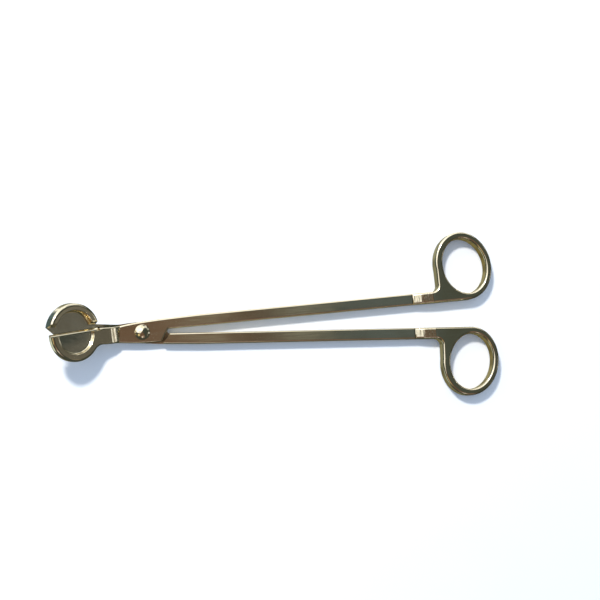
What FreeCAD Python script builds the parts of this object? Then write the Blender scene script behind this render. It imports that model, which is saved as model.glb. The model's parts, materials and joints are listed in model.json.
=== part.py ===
import FreeCAD, Part

import math
import os

# Wick trimmer: two crossing scissor levers that carry a two-part cutting dish
# on their short ends and finger loops on their long ends.
#
# Each lever is drawn closed, with the pivot axis on Z at the origin, the
# lapped faces meeting on Z = 0 and the finger loops towards +X. The upper
# lever's arm is on the +Y side and its blade on the -Y side. It is then
# opened to its resting angle, and the whole tool is set on the surface it
# lies on.

V = FreeCAD.Vector
Z_AXIS = V(0, 0, 1)

# Resting angle of each lever from the closed position, in degrees
HALF_OPENING = 2.2

# Arms: flat bars, mirror images of each other
ARM_THICKNESS = 3.5
ARM_WIDTH = 4.5
ARM_INNER_Y = 0.5
ARM_END_X = 110.3
ARM_STRAIGHT_FROM_X = 22.0
ARM_EDGE_RADIUS = 0.6
HALF_THICKNESS = ARM_THICKNESS / 2
ARM_OUTER_Y = ARM_INNER_Y + ARM_WIDTH

# Lap: each lever is cut to half thickness where it crosses the other one
LAP_GAP = 0.05
LAP_END_X = -9.0
NECK_HALF_WIDTH = 3.3
LAP_HALF_WIDTH = 4.3
LAP_TAPER = 0.05
LAP_CROTCH_X = 10.4
LAP_CORNER_X = 7.4
SHOULDER_INNER_X = 10.9
SHOULDER_OUTER_X = 8.3
SHOULDER_OUTER_Y = 4.65

# Finger loops: oval rings thicker than the arms, with a tapered tang
LOOP_INNER_X = 9.0
LOOP_INNER_Y = 11.4
LOOP_RING = 2.7
LOOP_BACK_SHIFT = 0.35
LOOP_HALF_THICKNESS = 3.1
LOOP_CENTRE_X = 133.6
LOOP_LEAN = 9.5
LOOP_FACE_X = 119.2
LOOP_WEB_X = 121.6
LOOP_WEB_RADIUS = 2.6
LOOP_EDGE_RADIUS = 0.7

# Head: tilted up from the lap about the bend, and rolled a little
BEND_X = -10.2
HEAD_TILT = 29.5
HEAD_ROLL = 7.5
DISH_CENTRE = V(-29.3, 1.2, 0)
DISH_RADIUS = 10.6
RIM_WIDTH = 3.0
FAR_CENTRE = V(-29.8, 0.5, 0)
FAR_RADIUS = 10.7
FAR_RIM_WIDTH = 2.6
RIM_TOP = 2.9
RIM_EDGE_RADIUS = 1.1
PLATE_EDGE_RADIUS = 1.2
NEAR_PLATE_TOP = 1.25
FAR_PLATE_BOTTOM = -2.3
SPLIT_ANGLE = 5.5
SPLIT_OFFSET = 1.15
CLOSED_GAP = 0.1
CUTTING_BEVEL = 1.0
CUTTING_LAND = 0.1
RIM_END_SETBACK = 1.0
RIM_END_SLOPE = 30.0
UNDERLAP = 3.0
UNDERLAP_LEFT = -7.6
UNDERLAP_RIGHT = 12.0

# Neck stations along the head, counted from the pivot before the bend
NECK_LOW_X = -14.1
NECK_HIGH_X = -17.0
NECK_INNER_X = -24.0
NECK_RELIEF = 0.7
NECK_FAR_Y = 3.3
NECK_NEAR_Y = -3.2
NECK_FLARE_Y = -6.4
LOWER_NECK_NEAR_Y = 0.4

# Pivot: a domed sleeve nut through both laps, held by a screw from below
BORE_RADIUS = 1.65
SLEEVE_RADIUS = 1.6
DOME_RADIUS = 3.0
DOME_BAND = 0.25
DOME_HEIGHT = 1.45
THREAD_RADIUS = 1.0
THREAD_TOP = 1.2
SLEEVE_CLEARANCE = 0.02
WASHER_THICKNESS = 0.3
WASHER_INNER_RADIUS = 1.75
SCREW_HEAD_RADIUS = 2.9
SCREW_HEAD_BAND = 0.42
SLOT_WIDTH = 0.7
SLOT_DEPTH = 0.5

# A length that reaches past the whole tool, for cutting tools
FAR = 60.0


def polygon_face(points):
    """Planar face inside a closed run of straight edges."""
    return Part.Face(Part.makePolygon(points + [points[0]]))


def spline(points):
    """Smooth edge through the given points."""
    curve = Part.BSplineCurve()
    curve.interpolate(points)
    return curve.toShape()


def line(start, end):
    return Part.LineSegment(start, end).toShape()


def prism(face, bottom, top):
    """Solid from a face drawn on Z = 0, between two heights."""
    solid = face.extrude(V(0, 0, top - bottom))
    solid.translate(V(0, 0, bottom))
    return solid


def round_rims(solid, heights, radius):
    """Round every edge that lies flat at one of the given heights."""
    edges = []
    for edge in solid.Edges:
        box = edge.BoundBox
        for height in heights:
            if abs(box.ZMin - height) < 1e-4 and abs(box.ZMax - height) < 1e-4:
                edges.append(edge)
    return solid.makeFillet(radius, edges)


def oval_face(centre, radius_x, radius_y, lean):
    """Elliptical face whose long axis leans back from Y by lean degrees."""
    edge = Part.Ellipse(V(0, 0, 0), radius_y, radius_x).toShape()
    edge.rotate(V(0, 0, 0), Z_AXIS, 90 + lean)
    edge.translate(centre)
    return Part.Face(Part.Wire(edge))


# ---------------------------------------------------------------- levers

def shank_outline():
    """Plan of the upper lever's arm and lap, up to the bend."""
    crotch = V(LAP_CROTCH_X, ARM_INNER_Y, 0)
    corner = V(LAP_CORNER_X, -LAP_HALF_WIDTH, 0)
    near_end = V(LAP_END_X, -NECK_HALF_WIDTH, 0)
    far_end = V(LAP_END_X, NECK_HALF_WIDTH, 0)
    straight = V(ARM_STRAIGHT_FROM_X, ARM_OUTER_Y, 0)
    edges = [
        line(V(ARM_END_X, ARM_INNER_Y, 0), crotch),
        line(crotch, corner),
        spline([corner, V(0, -LAP_HALF_WIDTH + LAP_TAPER, 0), near_end]),
        line(near_end, far_end),
        spline([far_end, V(0, LAP_HALF_WIDTH - LAP_TAPER, 0), V(SHOULDER_OUTER_X, SHOULDER_OUTER_Y, 0), straight]),
        line(straight, V(ARM_END_X, ARM_OUTER_Y, 0)),
        line(V(ARM_END_X, ARM_OUTER_Y, 0), V(ARM_END_X, ARM_INNER_Y, 0)),
    ]
    return Part.Face(Part.Wire(edges))


def half_lap_cutter():
    """Space for the other lever: everything behind the shoulder, below the lap plane."""
    inner = V(SHOULDER_INNER_X, ARM_INNER_Y, 0)
    outer = V(SHOULDER_OUTER_X, SHOULDER_OUTER_Y, 0)
    reach = (outer - inner).normalize() * LAP_HALF_WIDTH * 4
    ends = [inner - reach, inner + reach]
    face = polygon_face([ends[0], ends[1], V(-FAR, ends[1].y, 0), V(-FAR, ends[0].y, 0)])
    return prism(face, -FAR, LAP_GAP)


def shank_bar():
    """Upper lever's arm and half-thickness lap."""
    bar = prism(shank_outline(), -HALF_THICKNESS, HALF_THICKNESS)
    long_edges = []
    for edge in bar.Edges:
        box = edge.BoundBox
        flat = box.ZMax - box.ZMin < 1e-4
        across = box.XMax - box.XMin < 1e-4
        if flat and not across:
            long_edges.append(edge)
    bar = bar.makeFillet(ARM_EDGE_RADIUS, long_edges)
    return bar.cut(half_lap_cutter())


def pivot_bore():
    return Part.makeCylinder(BORE_RADIUS, FAR, V(0, 0, -FAR / 2))


def to_head(shape):
    """Carry a piece drawn flat into the tilted and rolled head."""
    moved = shape.copy()
    bend = V(BEND_X, 0, 0)
    moved.rotate(bend, V(1, 0, 0), HEAD_ROLL)
    moved.rotate(bend, V(0, 1, 0), HEAD_TILT)
    return moved


def section(x, near, far, bottom, top):
    """Rectangular station across a neck."""
    corners = [V(x, near, bottom), V(x, far, bottom), V(x, far, top), V(x, near, top)]
    return Part.makePolygon(corners + [corners[0]])


def neck(stations, centre, radius):
    """Neck from the lap to the dish, through one flat and three tilted stations."""
    wires = [section(*stations[0])]
    wires += [to_head(section(*station)) for station in stations[1:]]
    body = Part.makeLoft(wires, True, True)
    dish = Part.makeCylinder(radius, FAR, centre - V(0, 0, FAR / 2))
    return body.cut(to_head(dish))


def upper_neck():
    return neck([
        (LAP_END_X, -NECK_HALF_WIDTH, NECK_HALF_WIDTH, LAP_GAP, HALF_THICKNESS),
        (NECK_LOW_X, NECK_NEAR_Y, NECK_FAR_Y, LAP_GAP, RIM_TOP),
        (NECK_HIGH_X, NECK_NEAR_Y, NECK_FAR_Y, LAP_GAP, RIM_TOP),
        (NECK_INNER_X, NECK_FLARE_Y, NECK_FAR_Y, LAP_GAP, RIM_TOP),
    ], DISH_CENTRE, DISH_RADIUS)


def lower_neck():
    middle_near = (NECK_NEAR_Y + LOWER_NECK_NEAR_Y) / 2
    return neck([
        (LAP_END_X, -NECK_HALF_WIDTH, NECK_HALF_WIDTH, -HALF_THICKNESS, -LAP_GAP),
        (NECK_LOW_X, NECK_NEAR_Y, NECK_FAR_Y, FAR_PLATE_BOTTOM, -LAP_GAP - NECK_RELIEF),
        (NECK_HIGH_X, middle_near, NECK_FAR_Y, FAR_PLATE_BOTTOM, -LAP_GAP - NECK_RELIEF),
        (NECK_INNER_X, LOWER_NECK_NEAR_Y, NECK_FAR_Y, FAR_PLATE_BOTTOM, -LAP_GAP),
    ], FAR_CENTRE, FAR_RADIUS)


def upper_shank():
    return shank_bar().fuse(upper_neck()).removeSplitter().cut(pivot_bore())


def lower_shank():
    bar = shank_bar()
    bar.rotate(V(0, 0, 0), V(1, 0, 0), 180)
    return bar.fuse(lower_neck()).removeSplitter().cut(pivot_bore())


# ---------------------------------------------------------------- finger loops

def loop_centre():
    """Centre of the finger hole: the ring's outside just touches the line of the arm's inner edge."""
    lean = math.radians(LOOP_LEAN)
    across = (LOOP_INNER_X + LOOP_RING) * math.sin(lean)
    along = (LOOP_INNER_Y + LOOP_RING) * math.cos(lean)
    return V(LOOP_CENTRE_X, ARM_INNER_Y + math.hypot(across, along), 0)


def tang_wedge():
    """Waste above the tang, which rises in a hollow curve from arm to loop face."""
    low = V(ARM_END_X, 0, HALF_THICKNESS)
    high = V(LOOP_FACE_X, 0, LOOP_HALF_THICKNESS)
    run = high.x - low.x
    rise = high.z - low.z
    radius = (run ** 2 + rise ** 2) / (2 * rise)
    half_angle = math.asin(run / radius) / 2
    middle = V(low.x + radius * math.sin(half_angle), 0, low.z + radius * (1 - math.cos(half_angle)))
    top = LOOP_HALF_THICKNESS + 1
    edges = [
        Part.Arc(low, middle, high).toShape(),
        line(high, V(high.x, 0, top)),
        line(V(high.x, 0, top), V(low.x, 0, top)),
        line(V(low.x, 0, top), low),
    ]
    wedge = Part.Face(Part.Wire(edges)).extrude(V(0, FAR, 0))
    wedge.translate(V(0, -FAR / 2, 0))
    return wedge


def finger_loop():
    """Upper lever's loop: oval ring, web in the corner, and tang."""
    centre = loop_centre()
    ring_centre = centre - V(LOOP_BACK_SHIFT, 0, 0)
    ring = oval_face(ring_centre, LOOP_INNER_X + LOOP_RING, LOOP_INNER_Y + LOOP_RING, LOOP_LEAN)
    tang = polygon_face([
        V(ARM_END_X, ARM_INNER_Y, 0),
        V(LOOP_CENTRE_X, ARM_INNER_Y, 0),
        V(LOOP_CENTRE_X, centre.y, 0),
        V(LOOP_WEB_X, centre.y, 0),
        V(LOOP_WEB_X, ARM_OUTER_Y, 0),
        V(ARM_END_X, ARM_OUTER_Y, 0),
    ])
    height = LOOP_HALF_THICKNESS
    body = prism(ring, -height, height).fuse(prism(tang, -height, height)).removeSplitter()
    corner = [edge for edge in body.Edges if is_web_corner(edge)]
    body = body.makeFillet(LOOP_WEB_RADIUS, corner)
    hole = oval_face(centre, LOOP_INNER_X, LOOP_INNER_Y, LOOP_LEAN)
    body = body.cut(prism(hole, -FAR, FAR))
    body = round_rims(body, [-height, height], LOOP_EDGE_RADIUS)
    body = body.cut(tang_wedge())
    under = tang_wedge()
    under.rotate(V(0, 0, 0), V(1, 0, 0), 180)
    return body.cut(under)


def is_web_corner(edge):
    """True for the upright edge where the ring rises from the arm's outer side."""
    box = edge.BoundBox
    upright = box.ZMax - box.ZMin > LOOP_HALF_THICKNESS
    on_side = abs(box.YMin - ARM_OUTER_Y) < 0.01 and abs(box.YMax - ARM_OUTER_Y) < 0.01
    return upright and on_side and box.XMin > ARM_END_X + 1


# ---------------------------------------------------------------- dish

def split_half(side, offset, slope=0.0):
    """Half-space on one side of the split line: side is +1 for far, -1 for near.

    With a slope the face leans back from the line as it rises.
    """
    lean = math.tan(math.radians(slope)) * FAR
    face = polygon_face([
        V(-FAR, offset, 0),
        V(-FAR, offset + side * lean, FAR),
        V(-FAR, side * 2 * FAR, FAR),
        V(-FAR, side * 2 * FAR, -FAR),
        V(-FAR, offset - side * lean, -FAR),
    ])
    return to_split(face.extrude(V(2 * FAR, 0, 0)))


def to_split(shape):
    """Carry a shape drawn along X onto the split line of the dish."""
    moved = shape.copy()
    moved.rotate(V(0, 0, 0), Z_AXIS, SPLIT_ANGLE)
    moved.translate(DISH_CENTRE)
    return moved


def disc(centre, radius, bottom, top):
    return Part.makeCylinder(radius, top - bottom, centre + V(0, 0, bottom))


def rim(centre, radius, width, bottom):
    """Full turned ring with a rounded outer top edge, standing on a plate."""
    ring = round_rims(disc(centre, radius, bottom, RIM_TOP), [RIM_TOP], RIM_EDGE_RADIUS)
    return ring.cut(disc(centre, radius - width, bottom, RIM_TOP))


def near_blade():
    """Upper lever's cutting plate: its straight edge is ground to a bevel."""
    body = disc(DISH_CENTRE, DISH_RADIUS, LAP_GAP, NEAR_PLATE_TOP)
    body = body.common(split_half(-1, SPLIT_OFFSET))
    waste = polygon_face([
        V(-FAR, SPLIT_OFFSET, LAP_GAP + CUTTING_LAND),
        V(-FAR, SPLIT_OFFSET - CUTTING_BEVEL, NEAR_PLATE_TOP),
        V(-FAR, SPLIT_OFFSET, NEAR_PLATE_TOP),
    ])
    return to_head(body.cut(to_split(waste.extrude(V(2 * FAR, 0, 0)))))


def near_tray_rim():
    """Upper lever's half of the dish wall, set back behind the bevel."""
    keep = split_half(-1, SPLIT_OFFSET - RIM_END_SETBACK)
    return to_head(rim(DISH_CENTRE, DISH_RADIUS, RIM_WIDTH, NEAR_PLATE_TOP).common(keep))


def far_tray_rim():
    """Lower lever's half of the dish wall, its two ends sloped back."""
    keep = split_half(1, SPLIT_OFFSET + CLOSED_GAP, RIM_END_SLOPE)
    return to_head(rim(FAR_CENTRE, FAR_RADIUS, FAR_RIM_WIDTH, -LAP_GAP).common(keep))


def far_blade():
    """Lower lever's cutting plate: it reaches past the split, under the near blade."""
    plate = disc(FAR_CENTRE, FAR_RADIUS, FAR_PLATE_BOTTOM, -LAP_GAP)
    plate = round_rims(plate, [FAR_PLATE_BOTTOM], PLATE_EDGE_RADIUS)
    half = plate.common(split_half(1, SPLIT_OFFSET + CLOSED_GAP))
    edge_y = SPLIT_OFFSET - UNDERLAP
    tongue = polygon_face([
        V(-FAR_RADIUS, SPLIT_OFFSET + 1, 0),
        V(-FAR_RADIUS, SPLIT_OFFSET, 0),
        V(UNDERLAP_LEFT, edge_y, 0),
        V(UNDERLAP_RIGHT, edge_y, 0),
        V(UNDERLAP_RIGHT, SPLIT_OFFSET + 1, 0),
    ])
    tongue = to_split(prism(tongue, FAR_PLATE_BOTTOM, -LAP_GAP))
    tongue = tongue.common(plate)
    return to_head(half.fuse(tongue).removeSplitter())


# ---------------------------------------------------------------- pivot

def dome(radius, band, height):
    """Low dome on a short straight band, with its flat face on Z = 0."""
    cap = height - band
    sphere_radius = (radius ** 2 + cap ** 2) / (2 * cap)
    body = Part.makeCylinder(radius, height)
    return body.common(Part.makeSphere(sphere_radius, V(0, 0, height - sphere_radius)))


def pivot_sleeve_nut():
    """Domed head over a smooth sleeve with a blind threaded hole from below."""
    head = dome(DOME_RADIUS, DOME_BAND, DOME_HEIGHT)
    head.translate(V(0, 0, HALF_THICKNESS + SLEEVE_CLEARANCE))
    sleeve = Part.makeCylinder(SLEEVE_RADIUS, ARM_THICKNESS + SLEEVE_CLEARANCE, V(0, 0, -HALF_THICKNESS))
    hole = Part.makeCylinder(THREAD_RADIUS, HALF_THICKNESS + THREAD_TOP, V(0, 0, -HALF_THICKNESS))
    return head.fuse(sleeve).removeSplitter().cut(hole)


def pivot_washer():
    base = V(0, 0, -HALF_THICKNESS - WASHER_THICKNESS)
    ring = Part.makeCylinder(SCREW_HEAD_RADIUS, WASHER_THICKNESS, base)
    return ring.cut(Part.makeCylinder(WASHER_INNER_RADIUS, WASHER_THICKNESS, base))


def pivot_screw():
    """Slotted low-head screw whose crown is level with the loops' undersides."""
    seat = -HALF_THICKNESS - WASHER_THICKNESS
    height = seat + LOOP_HALF_THICKNESS
    head = dome(SCREW_HEAD_RADIUS, SCREW_HEAD_BAND, height)
    slot = Part.makeBox(FAR, SLOT_WIDTH, SLOT_DEPTH, V(-FAR / 2, -SLOT_WIDTH / 2, height - SLOT_DEPTH))
    head = head.cut(slot)
    head.rotate(V(0, 0, 0), V(1, 0, 0), 180)
    head.translate(V(0, 0, seat))
    thread = Part.makeCylinder(THREAD_RADIUS, THREAD_TOP - seat, V(0, 0, seat))
    return head.fuse(thread).removeSplitter()


# ---------------------------------------------------------------- assembly

def lower_finger_loop():
    loop = finger_loop()
    loop.rotate(V(0, 0, 0), V(1, 0, 0), 180)
    return loop


UPPER_LEVER = {
    "upper_shank": upper_shank,
    "upper_finger_loop": finger_loop,
    "near_blade": near_blade,
    "near_tray_rim": near_tray_rim,
}

LOWER_LEVER = {
    "lower_shank": lower_shank,
    "lower_finger_loop": lower_finger_loop,
    "far_blade": far_blade,
    "far_tray_rim": far_tray_rim,
    "pivot_sleeve_nut": pivot_sleeve_nut,
    "pivot_washer": pivot_washer,
    "pivot_screw": pivot_screw,
}


def build():
    """All pieces at rest, keyed by node name, still with the pivot at the origin."""
    pieces = {}
    for lever, angle in ((UPPER_LEVER, HALF_OPENING), (LOWER_LEVER, -HALF_OPENING)):
        for name, make in lever.items():
            shape = make()
            shape.rotate(V(0, 0, 0), Z_AXIS, angle)
            pieces[name] = shape
    return pieces


def resting_shift(pieces):
    """Move that puts the origin under the middle of the tool, on the surface it lies on."""
    box = Part.makeCompound(list(pieces.values())).optimalBoundingBox()
    return V(-(box.XMin + box.XMax) / 2, -(box.YMin + box.YMax) / 2, -box.ZMin)


def main():
    os.makedirs("parts", exist_ok=True)
    pieces = build()
    shift = resting_shift(pieces)
    print("pivot at %.4f %.4f %.4f mm" % tuple(shift))
    for name, shape in pieces.items():
        shape.translate(shift)
        solids = shape.Solids
        print("%-18s valid %s solids %d volume %.1f mm3" % (name, shape.isValid(), len(solids), shape.Volume))
        solid = solids[0] if len(solids) == 1 else Part.makeCompound(solids)
        solid.exportStep("parts/%s.step" % name)


main()
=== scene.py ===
import json
import math

import bmesh
import bpy
from mathutils import Matrix, Vector
from mathutils.geometry import delaunay_2d_cdt


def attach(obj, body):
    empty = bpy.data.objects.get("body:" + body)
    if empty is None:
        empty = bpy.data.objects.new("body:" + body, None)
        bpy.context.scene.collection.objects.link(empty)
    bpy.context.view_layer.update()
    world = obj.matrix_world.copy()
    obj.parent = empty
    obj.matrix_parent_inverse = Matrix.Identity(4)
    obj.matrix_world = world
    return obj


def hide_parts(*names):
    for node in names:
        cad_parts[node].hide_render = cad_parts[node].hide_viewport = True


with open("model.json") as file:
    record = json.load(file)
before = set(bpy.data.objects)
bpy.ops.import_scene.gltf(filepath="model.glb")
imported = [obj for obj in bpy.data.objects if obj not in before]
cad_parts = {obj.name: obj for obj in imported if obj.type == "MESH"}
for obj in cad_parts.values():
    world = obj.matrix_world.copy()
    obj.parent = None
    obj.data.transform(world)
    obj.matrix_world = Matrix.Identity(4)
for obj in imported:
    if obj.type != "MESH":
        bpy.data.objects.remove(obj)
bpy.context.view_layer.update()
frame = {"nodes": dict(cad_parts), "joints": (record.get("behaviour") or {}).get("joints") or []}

# Polished wick trimmer. Every piece is drawn in millimetres in its own lever's
# drawing: the pivot axis is Z through the origin, the laps meet on Z = 0, the
# finger loops are towards +X and the dish towards -X. The place in the frame
# comes from the joint.

MM = 0.001
HINGE = frame["joints"][0]
PIVOT = Vector(HINGE["pos_m"])
HALF_OPENING = math.radians(-HINGE["range_deg"][0] / 2)

# Arms and laps
HALF_THICKNESS = 1.75
ARM_INNER_Y = 0.5
ARM_OUTER_Y = 5.0
ARM_END_X = 110.3
ARM_ROUND = 0.62
LAP_GAP = 0.05
LAP_END_X = -9.0
BEND_SKEW = 0.14
LAP_SIDE_POINTS = [(7.4, 4.3), (0.0, 4.25), (-9.0, 3.3)]
ARM_SIDE_POINTS = [(22.0, 5.0), (8.3, 4.65), (0.0, 4.25), (-9.0, 3.3)]
CROTCH = Vector((10.4, 0.5))
LAP_CORNER = Vector((7.4, -4.3))
SHOULDER = (Vector((10.9, 0.5)), Vector((8.3, 4.65)))
CROTCH_CUT = 0.3
LAP_CORNER_CUT = 0.6

# Places of the sections along arm and lap
ARM_XS = (ARM_END_X, 90, 70, 50, 36, 28, 24, 22, 20, 18, 16, 14, 12.5)
BEFORE_SHOULDER = (11.5, 10.0)
LAP_START_XS = (8.1, 6.6)
LAP_XS = (6.0, 5.0, 4.0, 2.5, 1.0, -0.5, -2.0, -3.5, -5.0, -6.5, -7.7, LAP_END_X + 0.1, LAP_END_X)

# Head: tilted and rolled about the bend. The far plate is drawn a little smaller than its rim,
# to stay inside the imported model's box.
BEND = Vector((-10.2, 0, 0))
HEAD_TILT = math.radians(29.5)
HEAD_ROLL = math.radians(7.5)
RIM_TOP = 2.9
SPLIT_ANGLE = math.radians(5.5)
SPLIT_Y = 1.15
NEAR_CENTRE = Vector((-29.3, 1.2, 0))
NEAR_RADIUS = 10.6
NEAR_FLOOR = 1.25
NEAR_WIDTH = 3.0
NEAR_HOLLOW = 0.8
BEVEL = 1.0
FAR_CENTRE = Vector((-29.8, 0.5, 0))
FAR_RADIUS = 10.7
PLATE_RADIUS = 10.685
FAR_FLOOR = -0.05
FAR_BOTTOM = -2.3
FAR_WIDTH = 2.6
FAR_HOLLOW = 0.9
FAR_SLOPE = math.radians(30)
CLOSED_GAP = 0.1
TONGUE_Y = -1.85
TONGUE_XS = (-7.6, -4.0, 0.0, 4.0, 8.0)
RIM_ROUND = 1.1
RIM_SINK = 0.04
RIM_TUCK = 0.0015
PLATE_ROUND = 1.2
INNER_ROUND = 0.35
NECK_Y = 3.25
NECK_START_X = -14.1
NECK_FLAT_X = -15.5
NECK_FILLET = 4.0
NECK_ROUND = 0.5
NECK_FAR_LEAD = 0.2
NECK_FAR_END_X = -18.9
LOWER_NECK_RISE = 0.6
LOWER_NECK_SIDE = [(NECK_START_X, NECK_Y), (-17.0, 1.3), (-20.5, 0.0)]
RAMP_CROWN = 0.12
RAMP_LEAN = (0.6, 0.8)

# Near plate from below: inset of its arc, height, and how far its straight edge is ground back
NEAR_SECTION = [
    (0.25, LAP_GAP, 0.0),
    (0.0, LAP_GAP + 0.2, 0.0),
    (0.0, LAP_GAP + 0.58, 0.14),
    (0.0, LAP_GAP + 0.9, 0.44),
    (0.0, LAP_GAP + 1.1, 0.74),
    (0.0, NEAR_FLOOR, BEVEL),
]

# Finger loops
LOOP_CENTRE_X = 133.6
LOOP_X = 9.0
LOOP_Y = 11.4
LOOP_RING = 2.695
LOOP_SHIFT = 0.35
LOOP_LEAN = math.radians(9.5)
LOOP_TOP = 3.1
LOOP_ROUND = 0.85
GRIND_X = 114.3
GRIND_Z = 2.68
CREST_X = 119.2
CREST_STEP = 0.12
WEB_X = 121.6
WEB_ROUND = 2.6
WEB_POINT = 0.25
TANG_XS = [110.9, 111.4, 112.0, 112.6, 113.2, 113.8, 114.3, 114.8, 115.3, 116.0, 117.0, 118.0]
WEB_XS = [122.0, 125.0, 128.0]

# Pivot
DOME_RADIUS = 3.0
DOME_BAND = 0.25
DOME_HEIGHT = 1.45
DOME_SEAT = 0.02
DOME_ROUND = 0.08
SLEEVE_RADIUS = 1.6

# Mesh detail: how many steps each curve has, and the support line beside a rounded edge
ROUND_STEPS = 7
INNER_STEPS = 4
CAP_STEPS = 6
CROTCH_STEPS = 3
LAP_CORNER_STEPS = 4
RAMP_STEPS = 8
FILLET_STEPS = 6
HOLLOW_STEPS = 6
DISH_STEPS = 72
FAR_PLATE_STEPS = 84
RING_STEPS = 110
HOLE_STEPS = 120
WEB_STEPS = 12
DOME_STEPS = 16
TURNED_STEPS = 64
SUPPORT = 0.06
SHARP_ANGLE = math.radians(38)

# Tolerances: MERGE is in metres, the next two in millimetres, and HOLE_EDGE is a share of the hole
MERGE = 1e-7
SAME_LEVEL = 1e-6
SAME_PLACE = 1e-5
HOLE_EDGE = 0.9995


def lever(sign):
    """From a lever's closed drawing in millimetres to its resting place in the frame."""
    turn = Matrix.Rotation(sign * HALF_OPENING, 4, "Z")
    return Matrix.Translation(PIVOT) @ turn @ Matrix.Scale(MM, 4)


def head():
    """From a head drawn flat to the tilted and rolled head."""
    turn = Matrix.Rotation(HEAD_TILT, 4, "Y") @ Matrix.Rotation(HEAD_ROLL, 4, "X")
    return Matrix.Translation(BEND) @ turn @ Matrix.Translation(-BEND)


UPPER = lever(1)
LOWER = lever(-1)
OVER = Matrix.Rotation(math.pi, 4, "X")  # turns an upper lever's drawing over, for the lower one
HEAD = head()
SPLIT = Matrix.Translation(NEAR_CENTRE) @ Matrix.Rotation(SPLIT_ANGLE, 4, "Z")


# ---------------------------------------------------------------- meshes

def new_piece(name, shape, place, material, body, slot, *nodes):
    """Closed mesh from a shape's points and faces, riding on a body in place of CAD nodes."""
    points, faces = shape
    mesh = bpy.data.meshes.new(name)
    mesh.from_pydata([place @ point for point in points], [], faces)
    work = bmesh.new()
    work.from_mesh(mesh)
    bmesh.ops.remove_doubles(work, verts=work.verts, dist=MERGE)
    bmesh.ops.recalc_face_normals(work, faces=work.faces)
    work.to_mesh(mesh)
    work.free()
    mesh.shade_smooth()
    mesh.set_sharp_from_angle(angle=SHARP_ANGLE)
    mesh.materials.append(material)
    piece = bpy.data.objects.new(name, mesh)
    bpy.context.scene.collection.objects.link(piece)
    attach(piece, body)
    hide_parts(*nodes)
    return piece


def also(piece, material, faces):
    """Give some of a piece's faces a second material."""
    piece.data.materials.append(material)
    for face in faces:
        piece.data.polygons[face].material_index = 1


def bridge(first, second):
    """Quads between two closed rings of vertex numbers."""
    faces = []
    for i in range(len(first)):
        after = (i + 1) % len(first)
        faces.append((first[i], first[after], second[after], second[i]))
    return faces


def loft(rings, ends=True):
    """Points and faces through closed rings of points."""
    size = len(rings[0])
    points = [point for ring in rings for point in ring]
    numbers = [list(range(k * size, (k + 1) * size)) for k in range(len(rings))]
    faces = []
    for first, second in zip(numbers, numbers[1:]):
        faces += bridge(first, second)
    if ends:
        faces += [tuple(numbers[0]), tuple(numbers[-1])]
    return points, faces


def quarter(radius, steps=ROUND_STEPS):
    """(inset, drop) down a rounded edge, from flat face to wall, with a support line each side."""
    turns = [math.pi / 2 * k / steps for k in range(steps + 1)]
    bend = [(radius * (1 - math.sin(turn)), radius * (1 - math.cos(turn))) for turn in turns]
    return [(radius + SUPPORT, 0.0)] + bend + [(0.0, radius + SUPPORT)]


def spread(start, end, count):
    """Count + 1 evenly spaced values from start to end."""
    return [start + (end - start) * k / count for k in range(count + 1)]


def through(points, x):
    """Height at x of the polynomial through a few points."""
    total = 0.0
    for i, (xi, yi) in enumerate(points):
        for j, (xj, _) in enumerate(points):
            if i != j:
                yi *= (x - xj) / (xi - xj)
        total += yi
    return total


def around(centre, radius, turn, z):
    """Point at a radius and a turn about a centre, at a height."""
    return Vector((centre.x + radius * math.cos(turn), centre.y + radius * math.sin(turn), z))


def rounded_corner(before, corner, after, cut, steps):
    """Points round a corner, from cut millimetres before it to cut after it."""
    start = corner + (before - corner).normalized() * cut
    end = corner + (after - corner).normalized() * cut
    points = []
    for t in spread(0.0, 1.0, steps):
        points.append(start * (1 - t) ** 2 + corner * 2 * t * (1 - t) + end * t ** 2)
    return points


def inward_normals(path, side):
    """Mitred unit offsets along an open path: side +1 is to the left of it."""
    normals = []
    for i in range(len(path)):
        beside = []
        for a, b in ((i - 1, i), (i, i + 1)):
            if a >= 0 and b < len(path):
                along = (path[b] - path[a]).normalized()
                beside.append(Vector((-along.y, along.x)) * side)
        if len(beside) == 1:
            normals.append(beside[0])
        else:
            normals.append((beside[0] + beside[1]) / (1 + beside[0].dot(beside[1])))
    return normals


# ---------------------------------------------------------------- shanks

def arm_side(x):
    """Outer side of the arm and lap."""
    if x > ARM_SIDE_POINTS[0][0]:
        return ARM_OUTER_Y
    return through(ARM_SIDE_POINTS, x)


def shank_paths():
    """Near and far sides of arm and lap, point by point, and the number of the shoulder's pair."""
    near = []
    far = []
    for x in ARM_XS:
        near.append(Vector((x, ARM_INNER_Y)))
        far.append(Vector((x, arm_side(x))))
    near.append(Vector((BEFORE_SHOULDER[0], ARM_INNER_Y)))
    far.append(Vector((BEFORE_SHOULDER[1], arm_side(BEFORE_SHOULDER[1]))))
    shoulder = len(near)
    near.append(SHOULDER[0])
    far.append(SHOULDER[1])
    lap_side = Vector((0, -LAP_SIDE_POINTS[1][1]))
    edge = rounded_corner(SHOULDER[0], CROTCH, LAP_CORNER, CROTCH_CUT, CROTCH_STEPS)
    edge += [CROTCH.lerp(LAP_CORNER, 0.5)]
    edge += rounded_corner(CROTCH, LAP_CORNER, lap_side, LAP_CORNER_CUT, LAP_CORNER_STEPS)
    near += edge
    for x in spread(*LAP_START_XS, len(edge) - 1):
        far.append(Vector((x, arm_side(x))))
    for x in LAP_XS:
        near.append(Vector((x, -through(LAP_SIDE_POINTS, x))))
        far.append(Vector((x, arm_side(x))))
    return near, far, shoulder


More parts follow.
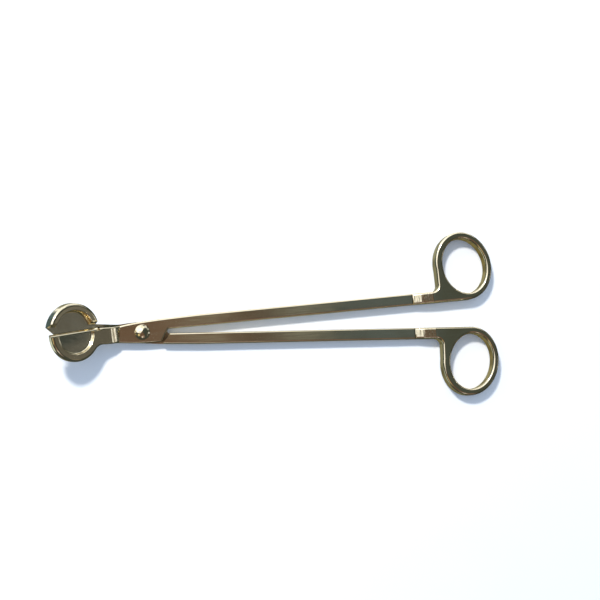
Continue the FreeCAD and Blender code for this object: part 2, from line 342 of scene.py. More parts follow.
def half_ring(near, near_in, far, far_in, top, level, radius):
    """Upper part of a section: rounded far edge, top, rounded near edge, down to a level."""
    down = quarter(radius)
    near_side = [(near + near_in * inset, top - drop) for inset, drop in down]
    far_side = [(far + far_in * inset, top - drop) for inset, drop in down]
    across = [far_side[0][0].lerp(near_side[0][0], k / CAP_STEPS) for k in range(1, CAP_STEPS)]
    ring = [(far, level)] + far_side[::-1]
    ring += [(point, top) for point in across]
    ring += near_side + [(near, level)]
    return [Vector((point.x, point.y, z)) for point, z in ring]


def low_ring(near, near_in, far, far_in, bottom, radius):
    """Lower part of a full section, from the near wall under the arm to the far wall."""
    down = quarter(radius)
    near_side = [(near + near_in * inset, bottom + drop) for inset, drop in down]
    far_side = [(far + far_in * inset, bottom + drop) for inset, drop in down]
    return [Vector((point.x, point.y, z)) for point, z in near_side[::-1] + far_side]


def neck_section(x, near, far, level, top, radius):
    """Upper part of a section across the head's neck, in the flat head drawing."""
    sides = (Vector((x, near)), Vector((0, 1)), Vector((x, far)), Vector((0, -1)))
    return half_ring(*sides, top, level, radius)


def fillet_path():
    """Hollow arc from the upper neck's near side onto the dish's outside."""
    across = NECK_Y + NECK_FILLET + NEAR_CENTRE.y
    along = math.sqrt((NEAR_RADIUS + NECK_FILLET) ** 2 - across ** 2)
    centre = Vector((NEAR_CENTRE.x + along, -NECK_Y - NECK_FILLET))
    last = math.pi - math.atan2(across, along)
    return [centre + Vector((math.cos(turn), math.sin(turn))) * NECK_FILLET
            for turn in spread(math.pi / 2, last, FILLET_STEPS)]


def upper_neck_rings():
    """Sections of the upper neck after its ramp: the flat, and the run onto the rim."""
    rings = []
    for x in (NECK_START_X, NECK_FLAT_X):
        rings.append(neck_section(x, -NECK_Y, NECK_Y, LAP_GAP, RIM_TOP, NECK_ROUND))
    near = fillet_path()
    inward = inward_normals([near[0] + Vector((1, 0))] + near, -1)[1:]
    far_xs = spread(near[0].x + NECK_FAR_LEAD, NECK_FAR_END_X, len(near) - 1)
    for k, point in enumerate(near):
        t = k / (len(near) - 1)
        radius = NECK_ROUND + (RIM_ROUND - NECK_ROUND) * t
        sides = (point, inward[k], Vector((far_xs[k], NECK_Y)), Vector((0, -1)))
        rings.append(half_ring(*sides, RIM_TOP, LAP_GAP, radius))
    rings[-1] = [run_onto_rim(point) for point in rings[-1]]
    return [[HEAD @ point for point in ring] for ring in rings]


def run_onto_rim(point):
    """Carry a point of the neck's last section to the edge of the rim's flat top, just under it."""
    if point.z < RIM_TOP - SAME_LEVEL:
        return point
    flat = NEAR_RADIUS - RIM_ROUND
    offset = point - NEAR_CENTRE
    x = point.x
    if offset.xy.length > flat:
        x = NEAR_CENTRE.x + math.sqrt(flat ** 2 - offset.y ** 2)
    return Vector((x, point.y, point.z - RIM_TUCK))


def lower_neck_rings():
    """Sections of the lower neck, drawn turned over, down to the far plate."""
    level = LAP_GAP + LOWER_NECK_RISE
    rings = []
    for x, near in LOWER_NECK_SIDE:
        rings.append(neck_section(x, -NECK_Y, near, level, -FAR_BOTTOM, NECK_ROUND))
    flip = HEAD @ OVER
    return [[OVER @ (flip @ point) for point in ring] for ring in rings]


def ramp(start, end, steps, crown):
    """Sections between two others, with the upper face crowned."""
    rings = []
    for k in range(1, steps):
        t = k / steps
        bulge = crown * 4 * t * (1 - t)
        ring = [a.lerp(b, t) for a, b in zip(start, end)]
        for i in range(1, len(ring) - 1):
            ring[i] = ring[i] + Vector((bulge * RAMP_LEAN[0], 0, bulge * RAMP_LEAN[1]))
        rings.append(ring)
    return rings


def shank(neck, crown):
    """Points and faces of an arm, its half lap, and the neck rings given for it."""
    near, far, shoulder = shank_paths()
    near_in = inward_normals(near, -1)
    far_in = inward_normals(far, 1)
    points = []
    faces = []
    upper = []
    full = []
    for k in range(len(near)):
        sides = (near[k], near_in[k], far[k], far_in[k])
        ring = half_ring(*sides, HALF_THICKNESS, LAP_GAP, ARM_ROUND)
        upper.append(list(range(len(points), len(points) + len(ring))))
        points += ring
        if k <= shoulder:
            ring = low_ring(*sides, -HALF_THICKNESS, ARM_ROUND)
            full.append(upper[-1] + list(range(len(points), len(points) + len(ring))))
            points += ring
    for i in upper[-2] + upper[-1]:
        points[i].x += BEND_SKEW * points[i].y
    lap_end = [points[i] for i in upper[-1]]
    for ring in ramp(lap_end, neck[0], RAMP_STEPS, crown) + neck:
        upper.append(list(range(len(points), len(points) + len(ring))))
        points += ring
    for first, second in zip(full, full[1:]):
        faces += bridge(first, second)
    for first, second in zip(upper[shoulder:], upper[shoulder + 1:]):
        faces += bridge(first, second)
    under = full[-1][len(upper[0]):]
    faces.append(tuple([upper[shoulder][-1]] + under + [upper[shoulder][0]]))
    faces += [tuple(full[0]), tuple(upper[-1])]
    return points, faces


# ---------------------------------------------------------------- finger loops

def oval(centre, radius_x, radius_y, turn):
    """Point on an oval whose long axis leans back."""
    x = radius_x * math.cos(turn)
    y = radius_y * math.sin(turn)
    c = math.cos(LOOP_LEAN)
    s = math.sin(LOOP_LEAN)
    return Vector((centre.x + x * c - y * s, centre.y + x * s + y * c))


def loop_centre():
    """Centre of the finger hole: the ring's outside touches the line of the arm's inner side."""
    across = (LOOP_X + LOOP_RING) * math.sin(LOOP_LEAN)
    along = (LOOP_Y + LOOP_RING) * math.cos(LOOP_LEAN)
    return Vector((LOOP_CENTRE_X, ARM_INNER_Y + math.hypot(across, along)))


def loop_outline():
    """Outside of the loop piece, from the arm's near corner anticlockwise."""
    centre = loop_centre()
    ring = centre - Vector((LOOP_SHIFT, 0))
    wide = LOOP_X + LOOP_RING
    high = LOOP_Y + LOOP_RING
    c = math.cos(LOOP_LEAN)
    s = math.sin(LOOP_LEAN)
    lowest = math.atan2(-high * c, -wide * s)
    leftmost = math.pi - math.atan2(high * s, wide * c)
    reach = math.hypot(wide * c, high * s)
    web = leftmost + math.acos((ring.x - WEB_X) / reach)
    tang = [ARM_END_X] + TANG_XS
    crest = [CREST_X - CREST_STEP, CREST_X, CREST_X + CREST_STEP]
    outline = [Vector((x, ARM_INNER_Y)) for x in tang + crest + WEB_XS]
    outline += [oval(ring, wide, high, turn) for turn in spread(lowest, web, RING_STEPS)]
    corner = Vector((WEB_X, ARM_OUTER_Y))
    top = Vector((WEB_X, outline[-1].y))
    outline += [top.lerp(corner, WEB_POINT)]
    outline += web_corner(corner)
    outline += [Vector((x, ARM_OUTER_Y)) for x in reversed(tang)]
    return outline


def web_corner(corner):
    """Hollow arc where the ring rises from the arm's outer side."""
    centre = corner + Vector((-WEB_ROUND, WEB_ROUND))
    return [centre + Vector((math.cos(turn), math.sin(turn))) * WEB_ROUND
            for turn in spread(0, -math.pi / 2, WEB_STEPS)]


def tang_top(x):
    """Height of the loop piece's upper face: a steep ground run-out, then a gentle rise."""
    if x >= CREST_X:
        return LOOP_TOP
    if x <= ARM_END_X:
        return HALF_THICKNESS
    if x < GRIND_X:
        return HALF_THICKNESS + (GRIND_Z - HALF_THICKNESS) * (x - ARM_END_X) / (GRIND_X - ARM_END_X)
    return GRIND_Z + (LOOP_TOP - GRIND_Z) * (x - GRIND_X) / (CREST_X - GRIND_X)


def closed_normals(path):
    """Mitred inward offsets round a closed anticlockwise path."""
    overlapped = [path[-1]] + path + [path[0]]
    return inward_normals(overlapped, 1)[1:-1]


def edge_rings(path, normals, tall):
    """Rings from the top support line over the rounded edges to the bottom support line."""
    rings = []
    down = quarter(LOOP_ROUND)
    for inset, drop in down:
        rings.append([edge_point(p, n, inset, drop, tall, 1) for p, n in zip(path, normals)])
    for inset, drop in reversed(down):
        rings.append([edge_point(p, n, inset, drop, tall, -1) for p, n in zip(path, normals)])
    return rings


def edge_point(point, normal, inset, drop, tall, side):
    """One point on a rounded edge above (side 1) or below (side -1)."""
    at = point + normal * inset
    at.x = max(at.x, ARM_END_X)
    return Vector((at.x, at.y, side * (tall(at.x) - drop)))


def finger_loop():
    """Shape of a loop piece, and the numbers of the hole wall's faces between its rounded edges."""
    centre = loop_centre()
    outside = loop_outline()
    turns = spread(0, 2 * math.pi, HOLE_STEPS)[:-1]
    inside = [oval(centre, LOOP_X, LOOP_Y, turn) for turn in turns]
    outer = edge_rings(outside, closed_normals(outside), tang_top)
    inner = edge_rings(inside, [-normal for normal in closed_normals(inside)], tang_top)
    points, faces = loft(outer, ends=False)
    size = len(points)
    hole_points, hole_faces = loft(inner, ends=False)
    points += hole_points
    faces += [tuple(i + size for i in face) for face in hole_faces]
    hole = range(len(faces) - len(hole_faces), len(faces))
    for side, a, b in ((1, outer[0], inner[0]), (-1, outer[-1], inner[-1])):
        cap_points, cap_faces = ring_face(a, b, side, centre)
        size = len(points)
        points += cap_points
        faces += [tuple(i + size for i in face) for face in cap_faces]
    band = ROUND_STEPS + 2
    return (points, faces), hole[band * len(inside):(band + 1) * len(inside)]


def ring_face(outside, inside, side, centre):
    """Upper or lower face between a loop's outside and its hole, cut across the tang's bends."""
    flat = [point.xy for point in outside] + [point.xy for point in inside]
    count = len(outside)
    edges = [(i, (i + 1) % count) for i in range(count)]
    edges += [(count + i, count + (i + 1) % len(inside)) for i in range(len(inside))]
    edges += [(i, count - 1 - i) for i in range(1, len(TANG_XS) + 1)]
    corners, _, cells = delaunay_2d_cdt(flat, edges, [], 1, SAME_PLACE)[:3]
    places = [Vector((p.x, p.y, side * tang_top(p.x))) for p in corners]
    faces = []
    edge = LOOP_ROUND + SUPPORT
    for face in cells:
        middle = sum((corners[i] for i in face), Vector((0, 0))) / len(face) - centre
        x = middle.x * math.cos(LOOP_LEAN) + middle.y * math.sin(LOOP_LEAN)
        y = middle.y * math.cos(LOOP_LEAN) - middle.x * math.sin(LOOP_LEAN)
        if math.hypot(x / (LOOP_X + edge), y / (LOOP_Y + edge)) > HOLE_EDGE:
            faces.append(tuple(face))
    return places, faces


# ---------------------------------------------------------------- dish

def rim_profile(radius, width, floor, fillet):
    """Section of a dish wall: rounded outer edge, flat top, and a hollow down to the floor."""
    inner = radius - width
    outer_edge = [(radius - inset, RIM_TOP - drop) for inset, drop in quarter(RIM_ROUND)]
    inner_down = quarter(INNER_ROUND, INNER_STEPS)
    inner_edge = [(inner + inset, RIM_TOP - drop) for inset, drop in inner_down]
    hollow = []
    for turn in spread(0, math.pi / 2, HOLLOW_STEPS):
        in_by = fillet * (1 - math.cos(turn))
        up_by = fillet * (1 - math.sin(turn))
        hollow.append((inner - in_by, floor + up_by))
    sunk = floor - RIM_SINK
    return [(radius, sunk)] + outer_edge[::-1] + inner_edge + hollow + [(inner - fillet, sunk)]


def swept_rim(centre, profile, cut, slope, side):
    """Wall swept round its centre between two cuts on a line across the dish."""
    local = SPLIT.inverted() @ centre
    rings = []
    for k in range(DISH_STEPS + 1):
        ring = []
        for radius, z in profile:
            start = math.asin((cut + side * math.tan(slope) * z - local.y) / radius)
            end = side * math.pi - start
            ring.append(around(local, radius, start + (end - start) * k / DISH_STEPS, z))
        rings.append([HEAD @ (SPLIT @ point) for point in ring])
    return loft(rings)


def half_plate_ring(centre, radius, cut, z, side):
    """Outline of a half plate at one height: an arc whose ends are on the cut."""
    local = SPLIT.inverted() @ centre
    start = math.asin((cut - local.y) / radius)
    end = side * math.pi - start
    return [around(local, radius, turn, z) for turn in spread(start, end, DISH_STEPS)]


def near_blade():
    """Near cutting plate, ground to a bevel on its straight edge."""
    rings = []
    for inset, z, back in NEAR_SECTION:
        rings.append(half_plate_ring(NEAR_CENTRE, NEAR_RADIUS - inset, SPLIT_Y - back, z, -1))
    return loft([[HEAD @ (SPLIT @ point) for point in ring] for ring in rings])


def far_blade():
    """Far cutting plate, round underneath, with the tongue that reaches under the near blade."""
    local = SPLIT.inverted() @ FAR_CENTRE
    start = math.asin((TONGUE_Y - local.y) / FAR_RADIUS)
    end = math.pi - math.asin((SPLIT_Y - local.y) / FAR_RADIUS)
    turns = spread(start, end, FAR_PLATE_STEPS)
    path = [around(local, PLATE_RADIUS, turn, FAR_FLOOR).xy for turn in turns]
    path += [Vector((x, TONGUE_Y)) for x in TONGUE_XS]
    normals = closed_normals(path)
    rings = [[Vector((p.x, p.y, FAR_FLOOR)) for p in path]]
    for inset, drop in reversed(quarter(PLATE_ROUND)):
        ring = [p + n * inset for p, n in zip(path, normals)]
        rings.append([Vector((p.x, p.y, FAR_BOTTOM + drop)) for p in ring])
    return loft([[HEAD @ (SPLIT @ point) for point in ring] for ring in rings])


# ---------------------------------------------------------------- pivot

def turned(profile):
    """Solid turned about Z from a profile whose first and last points are on the axis."""
    points = [Vector((0, 0, profile[0][1]))]
    faces = []
    rings = []
    for radius, z in profile[1:-1]:
        rings.append(list(range(len(points), len(points) + TURNED_STEPS)))
        for k in range(TURNED_STEPS):
            points.append(around(Vector((0, 0)), radius, 2 * math.pi * k / TURNED_STEPS, z))
    points.append(Vector((0, 0, profile[-1][1])))
    for first, second in zip(rings, rings[1:]):
        faces += bridge(first, second)
    for pole, ring in ((0, rings[0]), (len(points) - 1, rings[-1])):
        faces += [(pole, ring[i], ring[(i + 1) % TURNED_STEPS]) for i in range(TURNED_STEPS)]
    return points, faces


def sleeve_nut():
    """Domed head and the sleeve below it."""
    cap = DOME_HEIGHT - DOME_BAND
    sphere = (DOME_RADIUS ** 2 + cap ** 2) / (2 * cap)
    edge = math.asin(DOME_RADIUS / sphere)
    seat = HALF_THICKNESS + DOME_SEAT
    crown = seat + DOME_HEIGHT
    profile = [(0.0, crown)]
    for turn in spread(0, edge, DOME_STEPS)[1:]:
        profile.append((sphere * math.sin(turn), crown - sphere * (1 - math.cos(turn))))
    profile += [(DOME_RADIUS, seat + DOME_ROUND), (DOME_RADIUS - DOME_ROUND, seat)]
    profile += [(SLEEVE_RADIUS, seat), (SLEEVE_RADIUS, -HALF_THICKNESS), (0.0, -HALF_THICKNESS)]
    return turned(profile)


# ---------------------------------------------------------------- materials

# Noises: cycles per metre, detail, stretch and turn, and the part of the range that shows.
# GRIND_EDGE, how soft the end of a ground face is, and the reach of the painted shade, how close a
# wall or the floor must be to darken the colour, are in metres.
HAZE = (130, 4)
HAZE_RANGE = (0.45, 0.7)
SCRATCHES = (900, 2, (0.12, 2.2, 1), 0.1)
SCRATCH_RANGE = (0.35, 0.75)
WAVES = (110, 1.5, (0.35, 1, 1))
GRAIN = (2600, 2)
GRIND_MARKS = (2300, 2, (1, 0.12, 0.06), 0.12)
GRIND_EDGE = 0.0003
TURNING_SCALE = 2400
# Painted shade by ambient occlusion: its reach, and the part of its range over which the colour
# darkens
SHADE_REACH = 0.002
SHADE_RANGE = (0.3, 0.7)

# Dark brown painted in as shade in crevices, between the laps and near the floor
PAINTED_SHADE = (0.16, 0.13, 0.08)
GOLD = (0.88, 0.81, 0.64)
GOLD_DULL = (0.84, 0.76, 0.58)
# Deeper gold painted on hole walls and inner hollows as reflection of the metal around them
GOLD_REFLECTED = (0.86, 0.70, 0.38)
SATIN = (0.80, 0.76, 0.63)
SATIN_DULL = (0.72, 0.67, 0.54)
STEEL = (0.62, 0.62, 0.60)
STEEL_DULL = (0.55, 0.55, 0.54)


def node_material(name):
    """New node material and its principled shader."""
    material = bpy.data.materials.new(name)
    material.use_nodes = True
    shader = material.node_tree.nodes["Principled BSDF"]
    return material, shader


def noise(tree, scale, detail, stretch=(1, 1, 1), turn=0.0):
    """Noise in the piece's own coordinates, in cycles per metre, stretched and turned in plan."""
    place = tree.nodes.new("ShaderNodeTexCoord")
    mapping = tree.nodes.new("ShaderNodeMapping")
    mapping.inputs["Scale"].default_value = stretch
    mapping.inputs["Rotation"].default_value = (0, 0, turn)
    texture = tree.nodes.new("ShaderNodeTexNoise")
    texture.inputs["Scale"].default_value = scale
    texture.inputs["Detail"].default_value = detail
    tree.links.new(place.outputs["Object"], mapping.inputs["Vector"])
    tree.links.new(mapping.outputs["Vector"], texture.inputs["Vector"])
    return texture.outputs["Fac"]


def ramped(tree, factor, low, high, start, end):
    """Value from start to end as the factor goes from low to high."""
    node = tree.nodes.new("ShaderNodeMapRange")
    node.inputs["From Min"].default_value = low
    node.inputs["From Max"].default_value = high
    node.inputs["To Min"].default_value = start
    node.inputs["To Max"].default_value = end
    tree.links.new(factor, node.inputs["Value"])
    return node.outputs["Result"]


def bump(tree, height, distance, under=None):
    """Bump of a height in metres, over another normal."""
    node = tree.nodes.new("ShaderNodeBump")
    node.inputs["Strength"].default_value = 1.0
    node.inputs["Distance"].default_value = distance
    tree.links.new(height, node.inputs["Height"])
    if under:
        tree.links.new(under, node.inputs["Normal"])
    return node.outputs["Normal"]


def mixed(tree, factor, first, second):
    """Colour between two others, each three numbers or a socket."""
    node = tree.nodes.new("ShaderNodeMix")
    node.data_type = "RGBA"
    tree.links.new(factor, node.inputs[0])
    for socket, colour in ((node.inputs[6], first), (node.inputs[7], second)):
        if isinstance(colour, tuple):
            socket.default_value = (*colour, 1)
        else:
            tree.links.new(colour, socket)
    return node.outputs[2]


def grinding(tree, start, end, depth, under):
    """Marks of a grinding wheel across the piece, from one X to another."""
    opening = (start, start + GRIND_EDGE, 0, 1)
    closing = (end - GRIND_EDGE, end, 1, 0)
    place = tree.nodes.new("ShaderNodeTexCoord")
    axes = tree.nodes.new("ShaderNodeSeparateXYZ")
    tree.links.new(place.outputs["Object"], axes.inputs[0])
    marks = tree.nodes.new("ShaderNodeMath")
    marks.operation = "MULTIPLY"
    tree.links.new(noise(tree, *GRIND_MARKS), marks.inputs[0])
    within = tree.nodes.new("ShaderNodeMath")
    within.operation = "MINIMUM"
    tree.links.new(ramped(tree, axes.outputs["X"], *opening), within.inputs[0])
    tree.links.new(ramped(tree, axes.outputs["X"], *closing), within.inputs[1])
    tree.links.new(within.outputs["Value"], marks.inputs[1])
    return bump(tree, marks.outputs["Value"], depth, under)


def turning(tree, centre, depth, under):
    """Faint rings left by turning about a centre."""
    place = tree.nodes.new("ShaderNodeTexCoord")
    away = tree.nodes.new("ShaderNodeVectorMath")
    away.operation = "DISTANCE"
    away.inputs[1].default_value = centre
    tree.links.new(place.outputs["Object"], away.inputs[0])
    rings = tree.nodes.new("ShaderNodeTexNoise")
    rings.noise_dimensions = "1D"
    rings.inputs["Scale"].default_value = TURNING_SCALE
    tree.links.new(away.outputs["Value"], rings.inputs["W"])
    return bump(tree, rings.outputs["Fac"], depth, under)


def polished(name, colour, dull, rough, wave, grain, ground=None, spun=None):
    """Plated metal: waves and grain (metres high), fine scratches, haze, and painted shade that
    darkens the colour in crevices and near the floor.
    """
    material, shader = node_material(name)
    tree = material.node_tree
    shader.inputs["Metallic"].default_value = 1.0
    haze = noise(tree, *HAZE)
    plating = mixed(tree, ramped(tree, haze, *HAZE_RANGE, 0, 1), colour, dull)
    # Painted shade: ambient occlusion turns the colour towards dark brown in crevices and near the
    # floor
    occlusion = tree.nodes.new("ShaderNodeAmbientOcclusion")
    occlusion.inputs["Distance"].default_value = SHADE_REACH
    unshaded = ramped(tree, occlusion.outputs["AO"], *SHADE_RANGE, 0, 1)
    tree.links.new(mixed(tree, unshaded, PAINTED_SHADE, plating), shader.inputs["Base Color"])
    scratches = noise(tree, *SCRATCHES)
    tree.links.new(ramped(tree, scratches, *SCRATCH_RANGE, *rough), shader.inputs["Roughness"])
    normal = bump(tree, noise(tree, *WAVES), wave)
    normal = bump(tree, noise(tree, *GRAIN), grain, normal)
    if ground:
        normal = grinding(tree, *ground, normal)
    if spun:
        normal = turning(tree, *spun, normal)
    tree.links.new(normal, shader.inputs["Normal"])
    return material


# Where each piece is ground, from X to X, and how deep
NECK_GROUND = (PIVOT.x - 0.0140, PIVOT.x - 0.0089, 1.2e-5)
TANG_GROUND = (PIVOT.x + 0.1103, PIVOT.x + 0.1191, 5.5e-5)

# Middle of the dish's floor, which the turning marks go round
DISH_CENTRE = UPPER @ HEAD @ Vector((NEAR_CENTRE.x, 0.0, NEAR_FLOOR))

SHANK = polished("polished_shank", GOLD, GOLD_DULL, (0.06, 0.13), 8e-5, 1.0e-6, ground=NECK_GROUND)
LOOP = polished("polished_loop", GOLD, GOLD_DULL, (0.05, 0.11), 3e-5, 0.8e-6, ground=TANG_GROUND)
# Painted reflection: a deeper gold for the loops' hole walls and the far dish's inner hollow
INSIDE_REFLECTION = polished("painted_reflection_inside", GOLD_REFLECTED, GOLD_REFLECTED, (0.08, 0.14), 3e-5, 1.0e-6)
RIM = polished("polished_rim", GOLD, GOLD_DULL, (0.06, 0.13), 4e-5, 1.0e-6)
DOME = polished("polished_pivot", GOLD, GOLD_DULL, (0.05, 0.09), 2e-5, 0.6e-6)
BLADE = polished("satin_blade", SATIN, SATIN_DULL, (0.16, 0.26), 3e-5, 4e-6,
                 spun=(DISH_CENTRE, 3e-6))
EDGE = polished("polished_bevel", GOLD, GOLD_DULL, (0.06, 0.12), 1e-5, 1e-6)
WASHER = polished("plain_washer", STEEL, STEEL_DULL, (0.25, 0.4), 2e-5, 2e-6)


# ---------------------------------------------------------------- pieces

def build_shanks():
    """The two arms with their laps and necks."""
    new_piece("upper_shank_bar", shank(upper_neck_rings(), RAMP_CROWN), UPPER, SHANK,
              "upper_lever", "polished_shank", "upper_shank")
    new_piece("lower_shank_bar", shank(lower_neck_rings(), 0.0), LOWER @ OVER, SHANK,
              "lower_lever", "polished_shank", "lower_shank")


def build_loops():
    """The two finger loops, one drawing turned over for the lower one."""
    shape, walls = finger_loop()
    ring = new_piece("upper_loop_ring", shape, UPPER, LOOP,
                     "upper_lever", "polished_loop", "upper_finger_loop")
    # The hole's wall is painted a deeper gold as reflection
    also(ring, INSIDE_REFLECTION, walls)
    ring = new_piece("lower_loop_ring", shape, LOWER @ OVER, LOOP,
                     "lower_lever", "polished_loop", "lower_finger_loop")
    also(ring, INSIDE_REFLECTION, walls)


def build_dish():
    """The walls and cutting plates of both half-dishes."""
    profile = rim_profile(NEAR_RADIUS, NEAR_WIDTH, NEAR_FLOOR, NEAR_HOLLOW)
    shape = swept_rim(NEAR_CENTRE, profile, SPLIT_Y - BEVEL, 0.0, -1)
    new_piece("near_dish_wall", shape, UPPER, RIM, "upper_lever", "polished_rim", "near_tray_rim")
    profile = rim_profile(FAR_RADIUS, FAR_WIDTH, FAR_FLOOR, FAR_HOLLOW)
    shape = swept_rim(FAR_CENTRE, profile, SPLIT_Y + CLOSED_GAP, FAR_SLOPE, 1)
    rim = new_piece("far_dish_wall", shape, LOWER, RIM,
                    "lower_lever", "polished_rim", "far_tray_rim")
    # Bands of the wall from its inner side down to the floor, which get the deeper gold of the
    # painted reflection
    size = len(profile)
    hollow = range(size - HOLLOW_STEPS - 4, size - 2)
    also(rim, INSIDE_REFLECTION, [face for face in range(len(shape[1]) - 2) if face % size in hollow])
    shape = near_blade()
    plate = new_piece("near_cutting_plate", shape, UPPER, BLADE,
                      "upper_lever", "satin_blade", "near_blade")
    # The last face of each band lies along the straight edge
    size = len(shape[0]) // len(NEAR_SECTION)
    also(plate, EDGE, [band * size - 1 for band in range(2, len(NEAR_SECTION))])
    new_piece("far_cutting_plate", far_blade(), LOWER, BLADE,
              "lower_lever", "satin_blade", "far_blade")


def build_pivot():
    """The dome with its sleeve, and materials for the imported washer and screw."""
    new_piece("pivot_dome", sleeve_nut(), LOWER, DOME,
              "lower_lever", "polished_pivot", "pivot_sleeve_nut")
    for node, material in (("pivot_washer", WASHER), ("pivot_screw", DOME)):
        mesh = frame["nodes"][node].data
        mesh.materials.clear()
        mesh.materials.append(material)


# ---------------------------------------------------------------- studio

FLOOR_HALF = 6.0
FLOOR_DROP = 0.0001
FLOOR_ROUGHNESS = 0.6
FLOOR_TONES = ((0.86, 0.87, 0.88), (0.89, 0.895, 0.90))
FLOOR_NOISE = (9, 3)
FLOOR_RANGE = (0.3, 0.7)


def floor():
    """Plain pale surface just under the tool, which the metal doesn't mirror."""
    mesh = bpy.data.meshes.new("studio_floor")
    corners = []
    for x, y in ((-1, -1), (1, -1), (1, 1), (-1, 1)):
        corners.append(Vector((x * FLOOR_HALF, y * FLOOR_HALF, -FLOOR_DROP)))
    mesh.from_pydata(corners, [], [(0, 1, 2, 3)])
    material, shader = node_material("studio_floor")
    tree = material.node_tree
    shader.inputs["Roughness"].default_value = FLOOR_ROUGHNESS
    tone = ramped(tree, noise(tree, *FLOOR_NOISE), *FLOOR_RANGE, 0, 1)
    tree.links.new(mixed(tree, tone, *FLOOR_TONES), shader.inputs["Base Color"])
    mesh.materials.append(material)
    plane = bpy.data.objects.new("studio_floor", mesh)
    bpy.context.scene.collection.objects.link(plane)
    plane.visible_glossy = False


def towards(azimuth, elevation):
    """Unit vector: azimuth 0 is +X and 90 is +Y."""
    a = math.radians(azimuth)
    e = math.radians(elevation)
    return Vector((math.cos(a) * math.cos(e), math.sin(a) * math.cos(e), math.sin(e)))


# Soft patches of the room that the metal mirrors, each laid over the ones before it and a dark
# surround: azimuth, elevation, full and outer angle in degrees, and colour
ROOM_DARK = (0.056, 0.064, 0.053)
ROOM = [
    (205, 70, 26, 32, (0.128, 0.084, 0.058)),
    (265, 58, 20, 30, (0.150, 0.092, 0.064)),
    (278, 42, 8, 22, (0.30, 0.215, 0.175)),
    (20, 77.5, 2, 4, (0.086, 0.106, 0.107)),
    (22, 80, 0.5, 1.8, (0.30, 0.30, 0.25)),
    (40, 83.5, 0.5, 1.5, (0.20, 0.18, 0.14)),
    (-10, 31, 5, 10, (0.142, 0.134, 0.112)),
    (84, 40, 14, 28, (0.18, 0.18, 0.16)),
    (127, 41, 36, 41, (1.6, 1.6, 1.55)),
    (103, -20, 30, 40, (1.3, 1.3, 1.25)),
    (82, 32, 14, 20, (1.2, 1.2, 1.1)),
    (56, 18, 11, 15, (0.9, 0.9, 0.85)),
    (64, -14, 12, 20, (1.3, 1.3, 1.2)),
    (29, 16, 9, 13, (0.45, 0.45, 0.40)),
    (165, 76, 4, 8, (0.95, 0.95, 0.90)),
    (175, 66, 8, 12, (0.95, 0.95, 0.90)),
    (-5, 14.5, 6.5, 8.5, (1.2, 1.2, 1.15)),
    (-5, 15.5, 1.8, 4.5, (0.26, 0.24, 0.20)),
    (-28, 26, 2, 7, (0.32, 0.26, 0.19)),
    (271, 39, 4, 7, (1.3, 1.3, 1.2)),
    (215, 45, 7, 15, (0.85, 0.70, 0.36)),
    (0, -90, 22, 40, (0.17, 0.16, 0.085)),
    (95, -68, 12, 30, (0.27, 0.27, 0.18)),
    (150, -38, 14, 24, (0.10, 0.15, 0.16)),
    (202, -33, 12, 22, (0.70, 0.76, 0.66)),
]
CLUTTER_SCALE = 9.0
CLUTTER_RANGE = (0.35, 0.65)
CLUTTER_TONES = ((0.7, 0.7, 0.7), (1.2, 1.2, 1.2))
PLAIN_LIGHT = (0.52, 0.63, 0.80)


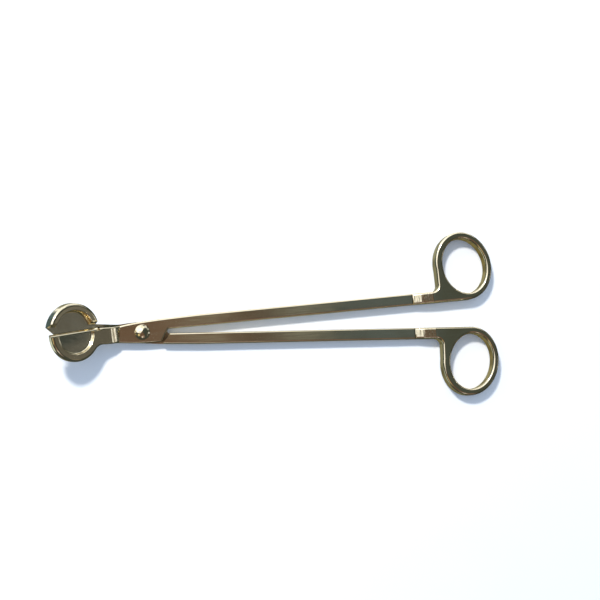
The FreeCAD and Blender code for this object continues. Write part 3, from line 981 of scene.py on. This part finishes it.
def room():
    """World: the metal mirrors the patches, and everything else sees plain pale light."""
    world = bpy.data.worlds.new("studio")
    bpy.context.scene.world = world
    world.use_nodes = True
    tree = world.node_tree
    place = tree.nodes.new("ShaderNodeTexCoord")
    colour = None
    for azimuth, elevation, inner, outer, tone in ROOM:
        dot = tree.nodes.new("ShaderNodeVectorMath")
        dot.operation = "DOT_PRODUCT"
        dot.inputs[1].default_value = towards(azimuth, elevation)
        tree.links.new(place.outputs["Generated"], dot.inputs[0])
        edge = tree.nodes.new("ShaderNodeMapRange")
        edge.interpolation_type = "SMOOTHSTEP"
        edge.inputs["From Min"].default_value = math.cos(math.radians(outer))
        edge.inputs["From Max"].default_value = math.cos(math.radians(inner))
        tree.links.new(dot.outputs["Value"], edge.inputs["Value"])
        colour = mixed(tree, edge.outputs["Result"], colour or ROOM_DARK, tone)
    clutter = tree.nodes.new("ShaderNodeTexNoise")
    clutter.inputs["Scale"].default_value = CLUTTER_SCALE
    clutter.inputs["Detail"].default_value = 0.0
    tree.links.new(place.outputs["Generated"], clutter.inputs["Vector"])
    tone = ramped(tree, clutter.outputs["Fac"], *CLUTTER_RANGE, 0, 1)
    shade = mixed(tree, tone, *CLUTTER_TONES)
    varied = tree.nodes.new("ShaderNodeVectorMath")
    varied.operation = "MULTIPLY"
    tree.links.new(colour, varied.inputs[0])
    tree.links.new(shade, varied.inputs[1])
    colour = varied.outputs["Vector"]
    seen = tree.nodes.new("ShaderNodeLightPath")
    colour = mixed(tree, seen.outputs["Is Glossy Ray"], PLAIN_LIGHT, colour)
    tree.links.new(colour, tree.nodes["Background"].inputs["Color"])


KEY_AZIMUTH = 120
KEY_ELEVATION = 55
KEY_DISTANCE = 1.1
KEY_SIZE = 0.14
KEY_POWER = 11.0
KEY_COLOUR = (1.0, 0.98, 0.94)


def key_light():
    """Soft round lamp high above the far left."""
    light = bpy.data.lights.new("key", "AREA")
    light.shape = "DISK"
    light.size = KEY_SIZE
    light.energy = KEY_POWER
    light.color = KEY_COLOUR
    lamp = bpy.data.objects.new("key", light)
    direction = towards(KEY_AZIMUTH, KEY_ELEVATION)
    lamp.location = direction * KEY_DISTANCE
    lamp.rotation_mode = "QUATERNION"
    lamp.rotation_quaternion = direction.to_track_quat("Z", "Y")
    bpy.context.scene.collection.objects.link(lamp)


# Camera: turns about X, Y and Z that carry the frame's axes to the camera's own,
# and its place from the pivot along its own axes, in millimetres
CAMERA_TURNS = [math.radians(-5.0), math.radians(9.15), math.radians(3.18)]
CAMERA_PLACE = Vector((62.51, 12.88, 519.3))
CAMERA_LENS = 78.7
CAMERA_SENSOR = 36.0
CAMERA_NEAREST = 0.01


def camera():
    """Camera above the dish's end of the tool, looking almost straight down."""
    data = bpy.data.cameras.new("camera")
    data.lens = CAMERA_LENS
    data.sensor_width = CAMERA_SENSOR
    data.clip_start = CAMERA_NEAREST
    turn = Matrix.Rotation(CAMERA_TURNS[2], 3, "Z") @ Matrix.Rotation(CAMERA_TURNS[1], 3, "Y")
    turn = turn @ Matrix.Rotation(CAMERA_TURNS[0], 3, "X")
    axes = turn.transposed()
    seen = bpy.data.objects.new("camera", data)
    seen.rotation_mode = "QUATERNION"
    seen.rotation_quaternion = axes.to_quaternion()
    seen.location = PIVOT + axes @ CAMERA_PLACE * MM
    bpy.context.scene.collection.objects.link(seen)
    bpy.context.scene.camera = seen


build_shanks()
build_loops()
build_dish()
build_pivot()
floor()
room()
key_light()
camera()
bpy.context.scene.view_settings.view_transform = "Standard"
